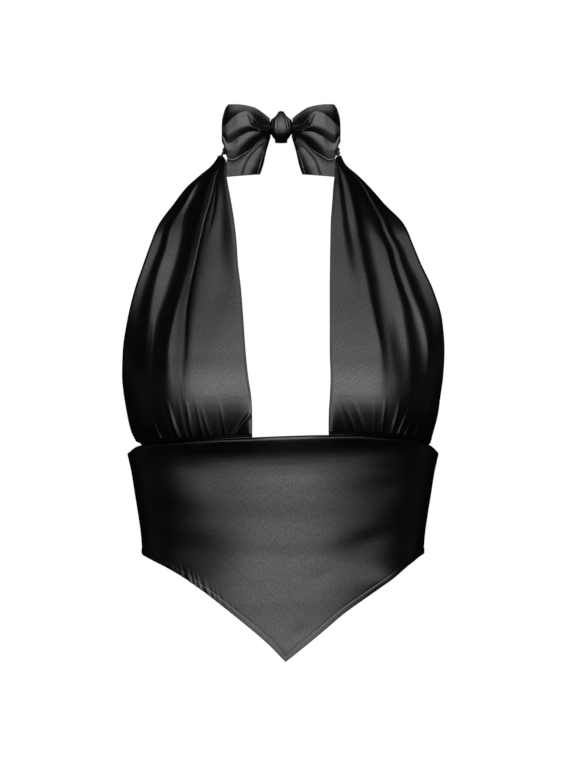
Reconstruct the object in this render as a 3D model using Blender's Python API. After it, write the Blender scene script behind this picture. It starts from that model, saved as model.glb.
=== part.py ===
"""A halter neck top in black satin, in the round form it has when it is worn, empty.

Two bust panels are gathered onto a midriff band with a pointed hem. Their tops are pressed into ties
that go round the neck and end in a bow. Every piece is a wall of cloth round a hollow, and pieces
that are sewn together stand SEAM_GAP apart.

Millimetres inside this file, metres in the scene. -Y is the front, +Z is up, and +X is to the right
of someone who looks at the front. Zero is the middle of the neck opening, level with the bow.
Left pieces lie at -X and right pieces at +X.
"""

import math

import bpy
import numpy as np

MM = 0.001  # metres in a millimetre
LEFT, RIGHT = -1, 1

# ---------------------------------------------------------------- driving dimensions
CLOTH = 1.6  # lined satin, as one wall
SEAM_GAP = 0.3  # between two pieces that are sewn together

BACK_TOP = -311.0  # the back band's straight top edge
BACK_HEM = -403.3  # and its hem
SIDE_SEAM_TURN = 0.18  # degrees that each band stops short of a side seam

# The worn midriff is an ellipse at each height, half_width across and two half depths.
FIGURE_COLUMNS = ("height", "half_width", "front", "back")
FIGURE = (
    (-496, 132.5, 97.0, 84.0),
    (-450, 131.6, 95.5, 84.0),
    (-403, 131.7, 96.0, 84.5),
    (-390, 132.4, 97.0, 85.0),
    (-370, 135.0, 98.5, 87.0),
    (-350, 138.2, 101.0, 90.0),
    (-328, 141.7, 103.0, 93.0),
    (-311, 145.0, 103.5, 96.0),
    (-290, 146.0, 104.0, 97.0),
)

# The front band's top edge, by the angle round the figure from the middle of the front.
TOP_COLUMNS = ("turn", "height")
TOP = (
    (-90, -311.1),
    (-80, -309.6),
    (-66, -305.2),
    (-38, -300.1),
    (-11, -294.4),
    (0, -292.8),
    (14, -291.9),
    (25, -293.3),
    (38, -296.0),
    (57, -299.4),
    (70, -304.5),
    (80, -308.6),
    (90, -311.1),
)

# Below its top edge the front band rolls out, dips under the cups and comes forward again.
ROLL_COLUMNS = ("below", "out")
ROLL = (
    (0, -0.4),
    (3, 1.1),
    (9, -1.8),
    (16, -3.6),
    (26, -1.2),
    (38, 1.4),
    (60, 0.6),
    (90, 0.0),
)
ROLL_END = 40.0  # below this the band's rows spread evenly down to the hem
LOWER_ROWS = (0.3, 0.65, 1.0)  # where those rows lie, as shares of the way to the hem
HALF_BAND_STEPS = 20  # columns of faces on each side of the hem's point
BACK_STEPS = (4, 26)  # rows and columns of faces of the back band

# The pointed hem, by the angle round the figure from the point.
HEM_POINT_TURN = 1.1  # degrees, the point sits this far right of the middle
HEM_COLUMNS = ("turn", "left", "right")
HEM = (
    (0, -495.8, -495.8),
    (7, -479.5, -483.1),
    (15, -464.3, -468.6),
    (24, -449.0, -452.8),
    (34, -434.0, -439.4),
    (46, -420.3, -425.4),
    (60, -411.0, -411.6),
    (75, -405.8, -404.6),
    (90, -403.6, -403.2),
)

# The bust panels: how far each edge is from the middle, where the flat front starts to turn to the
# side, and how far forward the front and the side of the cup stand.
PANEL_COLUMNS = (
    "height", "left_inner", "left_turn", "left_outer", "right_inner", "right_turn", "right_outer", "front", "side",
)  # fmt: skip
PANEL = (
    (-298, 27.3, 80, 136.4, 40.8, 84, 134.0, -121, -50),
    (-290, 27.2, 80, 139.2, 40.8, 84, 136.8, -130, -56),
    (-280, 27.2, 80, 141.6, 40.9, 84, 139.6, -137, -62),
    (-268, 27.4, 80, 143.4, 41.2, 84, 141.7, -141, -67),
    (-256, 28.3, 80, 145.2, 42.0, 84, 143.5, -141.5, -69),
    (-240, 30.7, 80, 146.6, 42.6, 84, 145.4, -138, -68),
    (-217, 33.2, 79, 145.9, 42.1, 82, 146.5, -129, -63),
    (-189, 35.4, 77, 142.2, 42.3, 79, 144.7, -114.5, -55),
    (-161, 37.8, 75, 136.3, 42.5, 75, 137.3, -98, -45),
    (-136, 41.0, 72, 128.6, 43.0, 70, 126.6, -83, -36),
    (-118, 42.3, 70, 122.9, 43.5, 67, 119.9, -71.5, -30.5),
    (-98, 44.6, 67.5, 115.9, 44.1, 64, 112.2, -58.5, -22.5),
    (-77, 48.1, 65, 102.8, 45.8, 58, 94.5, -43, -13),
    (-62, 51.0, 62, 91.0, 47.0, 54, 81.5, -31, -6),
    (-50, 52.8, 59, 78.0, 48.4, 52, 69.6, -20, 1),
    (-42, 53.0, 57.5, 68.2, 48.7, 51, 60.2, -13, 5),
    (-38, 53.6, 57.3, 64.6, 49.0, 51, 57.2, -10.5, 7),
    (-34, 56.6, 57.6, 61.4, 50.6, 51.4, 55.2, -8, 9),
)
PANEL_TOP = -34.0
PANEL_FOOT = -298.0
FLAT_SHARE = 0.28  # the share of a panel's width that lies in its flat front
INNER_DROP = 5.0  # how far the plunge edge turns back from the flat front
WRAP = {-34: 0, -60: 12, -250: 12, -285: 5, -298: 0}  # degrees past square-on at the outer edge
TUCK_START = -278.0  # below this height a panel turns in to its seam
SEAM_TURNS = {LEFT: (11.1, 64.6), RIGHT: (16.8, 69.0)}  # where each seam starts and ends on the band

# The folds of each panel run down from the tie. At each of these heights a fold line lies at a share of
# the way across the panel, and stands out so far.
FOLD_HEIGHTS = (-34, -60, -102, -136, -161, -189, -217, -245)
FOLD_COLUMNS = ("name", "share", "out")
LEFT_FOLDS = (
    ("crease", (0.30, 0.31, 0.32, 0.35, 0.35, 0.37, 0.40, 0.41), (0, -0.8, -1.6, -1.6, -1.4, -1.0, 0, 0)),
    ("inner crest", (0.36, 0.37, 0.38, 0.42, 0.44, 0.45, 0.46, 0.47), (0, 0.8, 1.6, 1.8, 1.8, 1.4, 0.6, 0)),
    ("middle trough", (0.49, 0.50, 0.48, 0.52, 0.52, 0.53, 0.55, 0.56), (0, -2.6, -4.6, -5.2, -5.0, -4.0, -2.2, 0)),
    ("outer crest", (0.60, 0.60, 0.57, 0.61, 0.63, 0.62, 0.61, 0.62), (0, 1.0, 1.8, 2.4, 2.4, 1.8, 0.8, 0)),
    ("side trough", (0.72, 0.72, 0.67, 0.70, 0.74, 0.74, 0.74, 0.75), (0, -1.6, -2.8, -3.2, -2.4, -1.0, 0, 0)),
)
RIGHT_FOLDS = (
    ("inner trough", (0.34, 0.35, 0.38, 0.37, 0.37, 0.36, 0.36, 0.37), (0, -1.4, -2.6, -2.6, -2.4, -1.8, -1.0, 0)),
    ("inner crest", (0.46, 0.48, 0.53, 0.50, 0.50, 0.50, 0.51, 0.52), (0, 1.0, 1.6, 1.8, 1.8, 1.6, 0.8, 0)),
    ("middle trough", (0.55, 0.57, 0.56, 0.55, 0.56, 0.56, 0.58, 0.59), (0, -1.6, -3.0, -3.4, -3.4, -3.0, -2.0, 0)),
    ("outer crest", (0.63, 0.64, 0.61, 0.62, 0.62, 0.64, 0.67, 0.68), (0, 0.8, 1.6, 2.0, 2.0, 1.6, 1.0, 0)),
    ("side trough", (0.73, 0.74, 0.69, 0.71, 0.71, 0.74, 0.78, 0.79), (0, -1.4, -2.6, -2.8, -2.4, -1.4, -0.6, 0)),
)
STEPS_BETWEEN_FOLDS = 3
PANEL_ROWS = (
    PANEL_TOP, -38, -43, -51, -62, -75, -88, -102, -119, -136, -153, -171, -189,
    -203, -217, -229, -240, -251, -262, -271, -279, -286, -292, -296, PANEL_FOOT,
)  # fmt: skip

# The neck ties run from a panel's top, up, back and in behind the bow. Each row is a place along a tie:
# how far out, back and up its upper edge is there, and then its lower edge.
TIE_COLUMNS = ("upper_out", "upper_back", "upper_up", "lower_out", "lower_back", "lower_up")
TIE = (
    (54.7, -8.0, -32.3, 59.4, 9.0, -32.3),
    (54.6, 8.0, -28.2, 56.5, 13.0, -31.8),
    (55.0, 30.0, -24.8, 55.8, 31.0, -29.5),
    (55.7, 50.0, -22.5, 56.1, 51.0, -27.4),
    (56.2, 63.0, -21.0, 56.5, 64.0, -26.0),
    (55.6, 75.0, -19.0, 55.9, 76.0, -25.0),
    (51.5, 88.0, -15.5, 51.8, 88.5, -23.0),
    (42.0, 96.0, -7.0, 42.5, 96.5, -16.0),
    (28.0, 98.0, 0.0, 28.0, 98.5, -10.0),
    (17.0, 95.0, 4.5, 17.0, 95.0, -6.0),
    (8.7, 89.7, 5.5, 8.7, 89.7, -4.5),
)
TIE_REACH = {LEFT: 1.0, RIGHT: 0.952}  # the right panel's top stands a little nearer the middle
TIE_REACH_END = 40.0  # how far back that difference has gone
TIE_ROWS = 22
TIE_LINES = 3

# The bow.
BOW_MIDDLE = -1.9
BOW_CLOTH = 1.4

# A loop's strip leaves the knot behind, turns at its far end and comes back in front. Each row is a
# place along the strip: how far out and back it is, and the heights of its lower and upper edges.
LOOP_COLUMNS = ("out", "back", "low", "high")
LOOP = (
    (10.9, 80.0, -3.0, 9.5),
    (16.0, 82.0, -5.0, 14.3),
    (27.3, 86.0, -8.0, 21.6),
    (42.0, 87.5, -11.0, 24.4),
    (50.0, 86.0, -12.0, 24.0),
    (54.0, 82.0, -12.5, 18.6),
    (56.2, 77.5, -12.5, 9.0),
    (56.5, 72.0, -13.0, 3.5),
    (54.0, 67.5, -19.0, 4.5),
    (50.6, 65.0, -31.6, 8.0),
    (46.0, 62.8, -32.5, 13.0),
    (39.4, 61.5, -29.0, 15.5),
    (30.0, 62.0, -24.0, 12.5),
    (19.0, 66.5, -10.0, 5.5),
    (10.9, 71.5, -3.5, 3.5),
)
LOOP_ROWS = 29
LOOP_LINES = 8
LOOP_FRONT = 0.55  # the share of the strip's length after which it is in front
LOOP_EASE = 0.15  # the share over which its puff comes and goes
LOOP_PUFF = 5.0  # how far the middle of the front of a loop stands out
LOOP_FULLNESS = 0.8  # under 1 makes the puff rounder
LOOP_PLEAT = 3.5  # how deep the pleat across the front of a loop is
LOOP_PLEAT_PLACE = 0.55  # where the pleat lies, as a share of the strip's width from its lower edge
LOOP_PLEAT_REACH = 0.12  # and how far it reaches on each side

# A tail hangs from the knot behind the loop. Each row is a place along it, with its two edges.
TAIL_COLUMNS = ("outer_out", "outer_up", "inner_out", "inner_up", "back")
TAIL = (
    (10.9, 2.0, 10.9, -8.0, 84.0),
    (20.0, -3.0, 12.8, -15.0, 87.5),
    (36.0, -13.0, 14.5, -21.5, 90.0),
    (52.4, -30.6, 17.4, -34.0, 89.5),
    (52.7, -45.7, 20.4, -42.9, 88.0),
)
TAIL_ROWS = 9
TAIL_LINES = 7
TAIL_WAVE = 1.8  # height of the waves across a tail

# The knot, by height: half its width and half its depth.
KNOT_COLUMNS = ("height", "half_width", "half_depth")
KNOT = (
    (16.7, 2.2, 4.0),
    (15.0, 4.0, 7.5),
    (11.5, 6.0, 10.5),
    (9.8, 9.6, 12.0),
    (8.0, 10.5, 12.6),
    (2.0, 10.7, 13.0),
    (-5.0, 10.3, 12.5),
    (-9.5, 9.0, 11.0),
    (-11.0, 7.2, 9.5),
    (-11.4, 6.0, 8.0),
    (-14.0, 6.0, 7.0),
)
KNOT_BACK = 79.0
KNOT_SIDES = 20
KNOT_SQUARENESS = 3.0  # 2 is a plain ellipse
KNOT_RIDGE = 0.5  # how far every second side lies in

BLACK_SATIN = (0.010, 0.010, 0.011, 1.0)
SATIN_ROUGHNESS = 0.42
CREASE_ANGLE = 50  # degrees between two faces past which their edge is shaded sharp


# ---------------------------------------------------------------- helpers
def column(table, names, wanted):
    """One named column of a table, as an array."""
    return np.array([row[names.index(wanted)] for row in table], float)


def ease(places, values, at):
    """A smooth curve through (places, values) that never overshoots, read at `at`."""
    order = np.argsort(places)
    x, y = np.asarray(places, float)[order], np.asarray(values, float)[order]
    step = np.diff(x)
    slope = np.diff(y) / step
    tangent = np.zeros_like(y)
    same_way = slope[:-1] * slope[1:] > 0
    before, after = slope[:-1][same_way], slope[1:][same_way]
    tangent[1:-1][same_way] = 2 * before * after / (before + after)
    tangent[0], tangent[-1] = slope[0], slope[-1]
    at = np.clip(at, x[0], x[-1])
    k = np.clip(np.searchsorted(x, at, side="right") - 1, 0, len(step) - 1)
    t = (at - x[k]) / step[k]
    rise = (1 + 2 * t) * (1 - t) ** 2 * y[k] + t * t * (3 - 2 * t) * y[k + 1]
    return rise + step[k] * (t * (1 - t) ** 2 * tangent[k] + t * t * (t - 1) * tangent[k + 1])


def along(table, names, wanted, rows):
    """A column of a table of places along a strip, read evenly at this many rows."""
    values = column(table, names, wanted)
    return ease(np.arange(len(values)), values, np.linspace(0, len(values) - 1, rows))


def smooth_step(t):
    t = np.clip(t, 0, 1)
    return t * t * (3 - 2 * t)


def satin(name):
    material = bpy.data.materials.new(name + " satin")
    material.use_nodes = True
    shader = material.node_tree.nodes["Principled BSDF"]
    shader.inputs["Base Color"].default_value = BLACK_SATIN
    shader.inputs["Roughness"].default_value = SATIN_ROUGHNESS
    shader.inputs["Metallic"].default_value = 0.0
    return material


def add_object(name, points, faces):
    mesh = bpy.data.meshes.new(name)
    mesh.from_pydata((np.asarray(points) * MM).tolist(), [], faces)
    mesh.materials.append(satin(name))
    mesh.shade_smooth()
    mesh.set_sharp_from_angle(angle=math.radians(CREASE_ANGLE))
    bpy.context.scene.collection.objects.link(bpy.data.objects.new(name, mesh))


def grid_faces(numbers):
    """The four-cornered faces of a grid of point numbers."""
    corners = (numbers[:-1, :-1], numbers[:-1, 1:], numbers[1:, 1:], numbers[1:, :-1])
    return np.stack(corners, axis=-1).reshape(-1, 4)


def wall(name, outer, thickness, inward=1):
    """A closed wall of cloth: its outer face is this grid of points, and its inner face is the same grid
    moved in by the thickness. `inward` is -1 where the grid's rows and columns face the other way."""
    down, across = np.gradient(outer, axis=0), np.gradient(outer, axis=1)
    normal = np.cross(down, across) * inward
    normal /= np.linalg.norm(normal, axis=2, keepdims=True)
    points = np.concatenate([outer.reshape(-1, 3), (outer - normal * thickness).reshape(-1, 3)])
    front = np.arange(outer.shape[0] * outer.shape[1]).reshape(outer.shape[:2])
    back = front + front.size
    rim = np.concatenate([front[0, :-1], front[:-1, -1], front[-1, :0:-1], front[:0:-1, 0]])
    rim_back = rim + front.size
    rim_faces = np.stack([rim, rim_back, np.roll(rim_back, -1), np.roll(rim, -1)], axis=-1)
    faces = np.concatenate([grid_faces(front)[:, ::-1], grid_faces(back), rim_faces[:, ::-1]])
    if inward < 0:
        faces = faces[:, ::-1]
    add_object(name, points, faces.tolist())


# ---------------------------------------------------------------- the midriff band
def band_top(turn):
    """Height of the front band's top edge at this turn from the middle, in degrees."""
    return ease(column(TOP, TOP_COLUMNS, "turn"), column(TOP, TOP_COLUMNS, "height"), turn)


def band_hem(turn):
    """Height of the front band's pointed hem."""
    from_point = turn - HEM_POINT_TURN
    turns = column(HEM, HEM_COLUMNS, "turn")
    left = ease(turns, column(HEM, HEM_COLUMNS, "left"), -from_point)
    right = ease(turns, column(HEM, HEM_COLUMNS, "right"), from_point)
    return np.where(from_point < 0, left, right)


def figure_point(turn, height, depth_column, out=0.0):
    """A point of the worn midriff, `out` mm proud of it. A turn of 0 is the middle of the front."""
    heights = column(FIGURE, FIGURE_COLUMNS, "height")
    width = ease(heights, column(FIGURE, FIGURE_COLUMNS, "half_width"), height)
    depth = ease(heights, column(FIGURE, FIGURE_COLUMNS, depth_column), height)
    angle = np.radians(turn)
    return np.stack([(width + out) * np.sin(angle), -(depth + out) * np.cos(angle), height + 0 * angle], axis=-1)


def front_point(turn, height):
    """A point of the front band's outer face, with its rolled top edge and the dip below it."""
    below = band_top(turn) - height
    out = ease(column(ROLL, ROLL_COLUMNS, "below"), column(ROLL, ROLL_COLUMNS, "out"), below)
    return figure_point(turn, height, "front", out * np.cos(np.radians(turn)) ** 2)


def front_band():
    side = 90 - SIDE_SEAM_TURN
    turns = np.concatenate([
        np.linspace(-side, HEM_POINT_TURN, HALF_BAND_STEPS, endpoint=False),
        np.linspace(HEM_POINT_TURN, side, HALF_BAND_STEPS + 1),
    ])  # fmt: skip
    level = column(ROLL, ROLL_COLUMNS, "below")
    level = level[level < ROLL_END]
    top, hem = band_top(turns), band_hem(turns)
    rows = [top - below for below in level]
    rows += [top - ROLL_END + share * (hem - top + ROLL_END) for share in LOWER_ROWS]
    turn_grid, height_grid = np.broadcast_arrays(turns[None, :], np.array(rows))
    wall("front_band", front_point(turn_grid, height_grid), CLOTH)


def back_band():
    rows, columns = BACK_STEPS
    turns = np.linspace(90 + SIDE_SEAM_TURN, 270 - SIDE_SEAM_TURN, columns + 1)
    heights = np.linspace(BACK_TOP, BACK_HEM, rows + 1)
    turn_grid, height_grid = np.meshgrid(turns, heights)
    wall("back_band", figure_point(turn_grid, height_grid, "back"), CLOTH)


# ---------------------------------------------------------------- the bust panels
def fold_lines(folds, heights):
    """For each height, the shares across the panel where its fold lines lie, and how far they stand out."""
    shares = [ease(FOLD_HEIGHTS, fold[FOLD_COLUMNS.index("share")], heights) for fold in folds]
    outs = [ease(FOLD_HEIGHTS, fold[FOLD_COLUMNS.index("out")], heights) for fold in folds]
    edge = np.zeros_like(heights)
    return np.stack([edge, *shares, edge + 1]), np.stack([edge, *outs, edge])


def panel_section(side, share, height):
    """Where a panel's cloth lies before its folds, and the way it faces, at shares across its width."""
    hand = "left_" if side == LEFT else "right_"
    heights = column(PANEL, PANEL_COLUMNS, "height")
    inner, turn, outer, front, depth = (
        ease(heights, column(PANEL, PANEL_COLUMNS, name), height)
        for name in (hand + "inner", hand + "turn", hand + "outer", "front", "side")
    )
    wrap = ease(list(WRAP), list(WRAP.values()), height)
    flat = np.clip(share / FLAT_SHARE, 0, 1)
    angle = np.radians(90 + wrap) * np.clip((share - FLAT_SHARE) / (1 - FLAT_SHARE), 0, 1)
    x = inner + (turn - inner) * flat + (outer - turn) * np.sin(angle)
    y = front + INNER_DROP * (1 - flat) ** 2 + (depth - front) * (1 - np.cos(angle))
    facing = np.stack([side * np.sin(angle), -np.cos(angle), 0 * angle], axis=-1)
    return np.stack([side * x, y, height + 0 * angle], axis=-1), facing


def bust_panel(name, side, folds):
    heights = np.array(PANEL_ROWS)
    lines, outs = fold_lines(folds, heights)
    between = np.linspace(0, 1, STEPS_BETWEEN_FOLDS, endpoint=False)
    shares = [lines[k] + t * (lines[k + 1] - lines[k]) for k in range(len(lines) - 1) for t in between]
    relief = [outs[k] + smooth_step(t) * (outs[k + 1] - outs[k]) for k in range(len(outs) - 1) for t in between]
    share = np.stack([*shares, lines[-1]], axis=1)
    relief = np.stack([*relief, outs[-1]], axis=1)
    points, facing = panel_section(side, share, heights[:, None] + 0 * share)
    points = points + facing * relief[:, :, None]

    # Below TUCK_START the cloth turns in, until its last row lies along the band's top edge.
    start, end = SEAM_TURNS[side]
    turn = side * (start + share * (end - start))
    top = band_top(turn)
    seam = front_point(turn, top) + [0, 0, SEAM_GAP]
    tuck = smooth_step((TUCK_START - heights) / (TUCK_START - PANEL_FOOT))[:, None, None]
    wall(name, points + tuck * (seam - points), CLOTH, inward=side)


# ---------------------------------------------------------------- the neck ties and the bow
def neck_tie(name, side):
    """A flat strap between its upper and its lower edge."""
    upper_out, upper_back, upper_up, lower_out, lower_back, lower_up = (
        along(TIE, TIE_COLUMNS, wanted, TIE_ROWS) for wanted in TIE_COLUMNS
    )
    upper = np.stack([upper_out, upper_back, upper_up], axis=-1)
    lower = np.stack([lower_out, lower_back, lower_up], axis=-1)
    across = np.linspace(0, 1, TIE_LINES)[None, :, None]
    strap = upper[:, None] + across * (lower - upper)[:, None]
    nearness = smooth_step(1 - strap[..., 1] / TIE_REACH_END)
    strap[..., 0] = BOW_MIDDLE + side * strap[..., 0] * (1 + (TIE_REACH[side] - 1) * nearness)
    wall(name, strap, CLOTH, inward=-side)


def bow_loop(name, side):
    """A strip that goes out behind, turns and comes back in front, puffed out on each side of a pleat."""
    out, back, low, high = (along(LOOP, LOOP_COLUMNS, wanted, LOOP_ROWS)[:, None] for wanted in LOOP_COLUMNS)
    across = np.linspace(0, 1, LOOP_LINES)[None, :]
    place = np.linspace(0, 1, LOOP_ROWS)[:, None]
    in_front = smooth_step((place - LOOP_FRONT) / LOOP_EASE) * smooth_step((1 - place) / LOOP_EASE)
    pleat = LOOP_PLEAT * np.exp(-(((across - LOOP_PLEAT_PLACE) / LOOP_PLEAT_REACH) ** 2))
    puff = LOOP_PUFF * np.sin(np.pi * across) ** LOOP_FULLNESS - pleat
    strip = np.stack([
        BOW_MIDDLE + side * out + 0 * across,
        back - in_front * puff,
        low + across * (high - low),
    ], axis=-1)  # fmt: skip
    wall(name, strip, BOW_CLOTH, inward=-side)


def bow_tail(name, side):
    """A flat tie end between its outer and its inner edge, with waves that grow towards its cut end."""
    outer_out, outer_up, inner_out, inner_up, back = (
        along(TAIL, TAIL_COLUMNS, wanted, TAIL_ROWS)[:, None] for wanted in TAIL_COLUMNS
    )
    across = np.linspace(0, 1, TAIL_LINES)[None, :]
    place = np.linspace(0, 1, TAIL_ROWS)[:, None]
    strip = np.stack([
        BOW_MIDDLE + side * (outer_out + across * (inner_out - outer_out)),
        back - TAIL_WAVE * place * np.sin(2 * np.pi * across),
        outer_up + across * (inner_up - outer_up),
    ], axis=-1)  # fmt: skip
    wall(name, strip, BOW_CLOTH, inward=-side)


def bow_knot():
    """The tie wrapped round the middle: a stack of squared rings with a flat cap at each end."""
    height, width, depth = (column(KNOT, KNOT_COLUMNS, name)[:, None] for name in KNOT_COLUMNS)
    angle = np.linspace(0, 2 * np.pi, KNOT_SIDES, endpoint=False)[None, :]
    cosine, sine = np.cos(angle), np.sin(angle)
    power = 2 / KNOT_SQUARENESS
    ridge = 1 - KNOT_RIDGE / width * (np.arange(KNOT_SIDES)[None, :] % 2)
    x = BOW_MIDDLE + width * np.sign(cosine) * np.abs(cosine) ** power * ridge
    y = KNOT_BACK + depth * np.sign(sine) * np.abs(sine) ** power * ridge
    points = np.stack([x, y, height + 0 * angle], axis=-1).reshape(-1, 3)
    rings = np.arange(len(points)).reshape(len(KNOT), KNOT_SIDES)
    wrapped = np.concatenate([rings, rings[:, :1]], axis=1)
    faces = grid_faces(wrapped)[:, ::-1].tolist() + [rings[0].tolist(), rings[-1, ::-1].tolist()]
    add_object("bow_knot", points, faces)


# ---------------------------------------------------------------- build
for old in list(bpy.data.objects):
    bpy.data.objects.remove(old, do_unlink=True)

front_band()
back_band()
bust_panel("bust_panel_left", LEFT, LEFT_FOLDS)
bust_panel("bust_panel_right", RIGHT, RIGHT_FOLDS)
for hand, way in (("left", LEFT), ("right", RIGHT)):
    neck_tie("neck_tie_" + hand, way)
    bow_loop("bow_loop_" + hand, way)
    bow_tail("bow_tail_" + hand, way)
bow_knot()
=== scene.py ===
"""The looks of a halter neck top in black satin, in the round form that it has when it is worn, empty.

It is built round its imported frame, in the order in which it is put together: the midriff band, the
hem's stitches, the bust panels, the neck ties and the bow. Sizes are millimetres, turned to metres as
each mesh is made. -Y is the front, +Z is up and +X is to the right of someone who looks at the front.
"""

import math

import bpy
import numpy as np
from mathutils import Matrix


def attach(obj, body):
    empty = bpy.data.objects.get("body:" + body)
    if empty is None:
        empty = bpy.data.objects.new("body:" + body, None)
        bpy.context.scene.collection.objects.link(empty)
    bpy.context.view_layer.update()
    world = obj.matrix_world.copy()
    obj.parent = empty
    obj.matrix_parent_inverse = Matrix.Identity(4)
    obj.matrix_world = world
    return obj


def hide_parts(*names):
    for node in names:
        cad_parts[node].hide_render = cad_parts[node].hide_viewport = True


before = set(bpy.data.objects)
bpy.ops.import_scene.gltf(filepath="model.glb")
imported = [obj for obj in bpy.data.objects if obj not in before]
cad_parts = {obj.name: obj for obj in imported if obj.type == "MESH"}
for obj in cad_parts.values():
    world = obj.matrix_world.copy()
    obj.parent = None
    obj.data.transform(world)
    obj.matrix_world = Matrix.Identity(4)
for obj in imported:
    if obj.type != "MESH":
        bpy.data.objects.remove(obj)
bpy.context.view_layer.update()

# == The front of the midriff band
# One piece of satin with its pointed hem, cut wide enough to go round the front of the midriff. Its top
# edge is turned over and rolls out a little where no cup is sewn to it, and its hem is turned in once.
MM = 0.001  # metres in a millimetre
LEFT, RIGHT = -1, 1
SEAM_GAP = 0.3  # between two sewn pieces
CLOTH = 1.0  # satin with its turned edges, as one wall
RIM_ROUND = 0.35  # how far a wall's rounded rim stands out past the cloth's edge
RIM_RINGS = 5  # steps round that rim

# The worn midriff is an ellipse at each height: height, half width, half depth in front and behind.
FIGURE = (
    (-496, 132.5, 97, 84), (-450, 131.6, 95.5, 84), (-403, 131.7, 96, 84.5), (-390, 132.4, 97, 85),
    (-370, 135, 98.5, 87), (-350, 138.2, 101, 90), (-328, 141.7, 103, 93), (-311, 145, 103.5, 96),
    (-290, 146, 104, 97),
)
IN_FRONT, BEHIND = 0, 1  # the half depths in their order
FIGURE_RADIUS = 118.0  # the mean radius of its front half

# The top edge: its height by the turn round the figure, in degrees from the middle of the front.
TOP = (
    (-90, -311.1), (-80, -309.6), (-66, -303.2), (-38, -297.9), (-11, -294), (0, -292.8),
    (14, -291.9), (25, -292), (38, -294), (57, -297.6), (70, -303.2), (80, -308.6), (90, -311.1),
)
# How the cloth stands out by the distance below its top edge: in the middle, and under a cup.
ROLL = (
    (0, -0.6, -0.5), (1, 0.7, 0.6), (2.2, 1.5, 0.6), (5, 0.8, -1.3), (8, -0.4, -3.5),
    (12, -2, -6.2), (15.5, -3.2, -7.9), (18.5, -4, -8.8), (22, -4.7, -9.4), (28, -5.5, -9.8),
    (35, -5.8, -9.9), (46, -5.3, -9.4), (60, -4.5, -8.1), (84, -3, -5.4), (110, -1.6, -2.8),
    (150, -0.4, -0.4),
)
CUPS_MIDDLE = 2.5  # degrees, the middle between the cups
CUP_TURNS = (2, 32)  # degrees from there between which the roll changes to that under a cup
HEM_POINT_TURN = 1.1  # degrees, the point sits this far right of the middle

# The hem: its height by the turn from its point, to the left and to the right.
HEM = (
    (0, -495.8, -495.8), (7, -479.5, -483.1), (15, -464.3, -468.6), (24, -449, -452.8),
    (34, -434, -439.4), (46, -420.3, -425.4), (60, -411, -411.6), (75, -405.8, -404.6),
    (90, -403.6, -403.2),
)
HEM_FOLD = 4.4  # depth of the turned hem
HEM_STEP = 0.45  # how far the turned cloth stands out
STEP_FADE = (0.3, 0.9)  # that step fades from this far below the stitches, over this height
STITCH_DIP = 0.35  # how deep the stitches pull the cloth in
STITCH_REACH = 0.55  # how far above and below their line
SIDE_SEAM_TURN = 0.25  # degrees that each band stops short of a side seam
BAND_COLUMNS = 150  # steps from the hem's point to each side seam
NEAR_TOP = np.arange(0, 40, 1.0)  # rows below the top edge
NEAR_HEM = np.array([9.0, 7.8, 6.8, 6.0, 5.4, 4.9, 4.5, 4.1, 3.6, 3.0, 2.4, 1.7, 1.0, 0.4, 0.0])
BETWEEN_ROWS = 46

# Soft swells and dents of the band: where round the figure and how high each is, how far it stands
# out, how far it reaches round and up, and how it leans in degrees of turn for each mm up.
BAND_SWELLS = (
    (-35, -322, -1.2, 10, 10, 0), (40, -322, -0.7, 11, 10, 0), (-46, -343, 2.4, 19, 18, 0),
    (42, -341, -2.4, 12, 12, 0), (-38, -400, -3.5, 17, 18, 0.1), (-46, -430, 3, 9, 8, 0),
    (56, -422, 11, 19, 18, 0), (35, -391, -2.6, 12, 13, 0.5), (15, -420, -0.5, 5, 8, 0.2),
    (7, -470, -0.4, 4.5, 8, 0.3),
)
SWELLS_START, SWELLS_EASE = 12, 20  # how far below the top edge they start, and over what height

# Puckers along the left part of the hem: their middle and reach in degrees of turn, their spacing with the
# length and strength of its waver, how far they stand out and slant, and their height above the hem.
PUCKERS = {
    "turn": -38, "degrees": 12, "spacing": 7.4, "waver_length": 23, "waver": 1.4,
    "out": 0.4, "slant": 0.6, "above_hem": 3.0, "reach": 4.6,
}


def ease(places, values, at):
    """A smooth curve through (places, values) that never overshoots, read at `at`: a cubic in each
    step, whose slope at each place is the harmonic mean of the slopes on its two sides."""
    order = np.argsort(places)
    x, y = np.asarray(places, float)[order], np.asarray(values, float)[order]
    step = np.diff(x)
    slope = np.diff(y) / step
    tangent = np.zeros_like(y)
    same_way = slope[:-1] * slope[1:] > 0
    before, after = slope[:-1][same_way], slope[1:][same_way]
    tangent[1:-1][same_way] = 2 * before * after / (before + after)
    tangent[0], tangent[-1] = slope[0], slope[-1]
    at = np.clip(at, x[0], x[-1])
    k = np.clip(np.searchsorted(x, at, side="right") - 1, 0, len(step) - 1)
    t = (at - x[k]) / step[k]
    rise = (1 + 2 * t) * (1 - t) ** 2 * y[k] + t * t * (3 - 2 * t) * y[k + 1]
    return rise + step[k] * (t * (1 - t) ** 2 * tangent[k] + t * t * (t - 1) * tangent[k + 1])


def running(steps):
    """The running sum of the steps along the last axis, from 0."""
    return np.concatenate([0 * steps[..., :1], np.cumsum(steps, axis=-1)], axis=-1)


def unit(vectors):
    """Each vector divided by its length."""
    return vectors / np.maximum(np.linalg.norm(vectors, axis=-1, keepdims=True), 1e-9)


def read(table, at):
    """Every further column of a table, each read smoothly at places in its first column."""
    places, *columns = zip(*table)
    return [ease(places, values, at) for values in columns]


def smooth_step(t):
    """0 before 0 and 1 after 1, with level ends: three t squared less two t cubed."""
    t = np.clip(t, 0, 1)
    return t * t * (3 - 2 * t)


def hump(distance, reach):
    """A bell of height 1: e to the minus (distance over reach) squared."""
    return np.exp(-((distance / reach) ** 2))


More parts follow.
